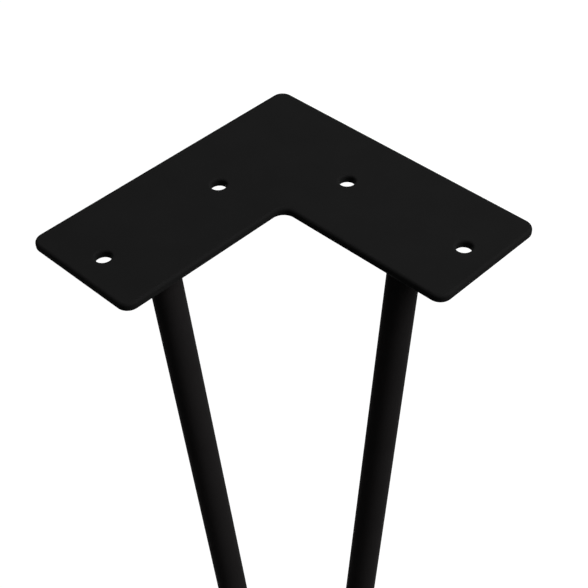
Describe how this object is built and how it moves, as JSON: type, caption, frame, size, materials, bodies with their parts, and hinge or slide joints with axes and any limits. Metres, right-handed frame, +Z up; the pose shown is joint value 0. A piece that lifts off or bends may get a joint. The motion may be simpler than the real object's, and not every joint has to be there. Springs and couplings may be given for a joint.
{
  "type": "hairpin table leg",
  "caption": "Hairpin table leg: an L-shaped mounting plate with screw holes, and a round bar bent to a U at the foot and welded under the plate's arms.",
  "frame": {"origin": "on the plate's top face, where the centre lines of its two arms cross", "axes": "+Z up, out of the top face that lies against the table; +Y towards the plate's outer corner; +X from one bar end to the other"},
  "size_m": [0.1466, 0.1163, 0.3],
  "materials": {
    "black_coat_plate": "satin black powder coat",
    "black_coat_bar": "satin black powder coat",
    "black_coat_weld": "satin black powder coat over a weld bead"
  },
  "bodies": {
    "root": {"mounting_plate": "black_coat_plate", "hairpin_rod": "black_coat_bar", "weld_bead_left": "black_coat_weld", "weld_bead_right": "black_coat_weld"}
  },
  "joints": []
}
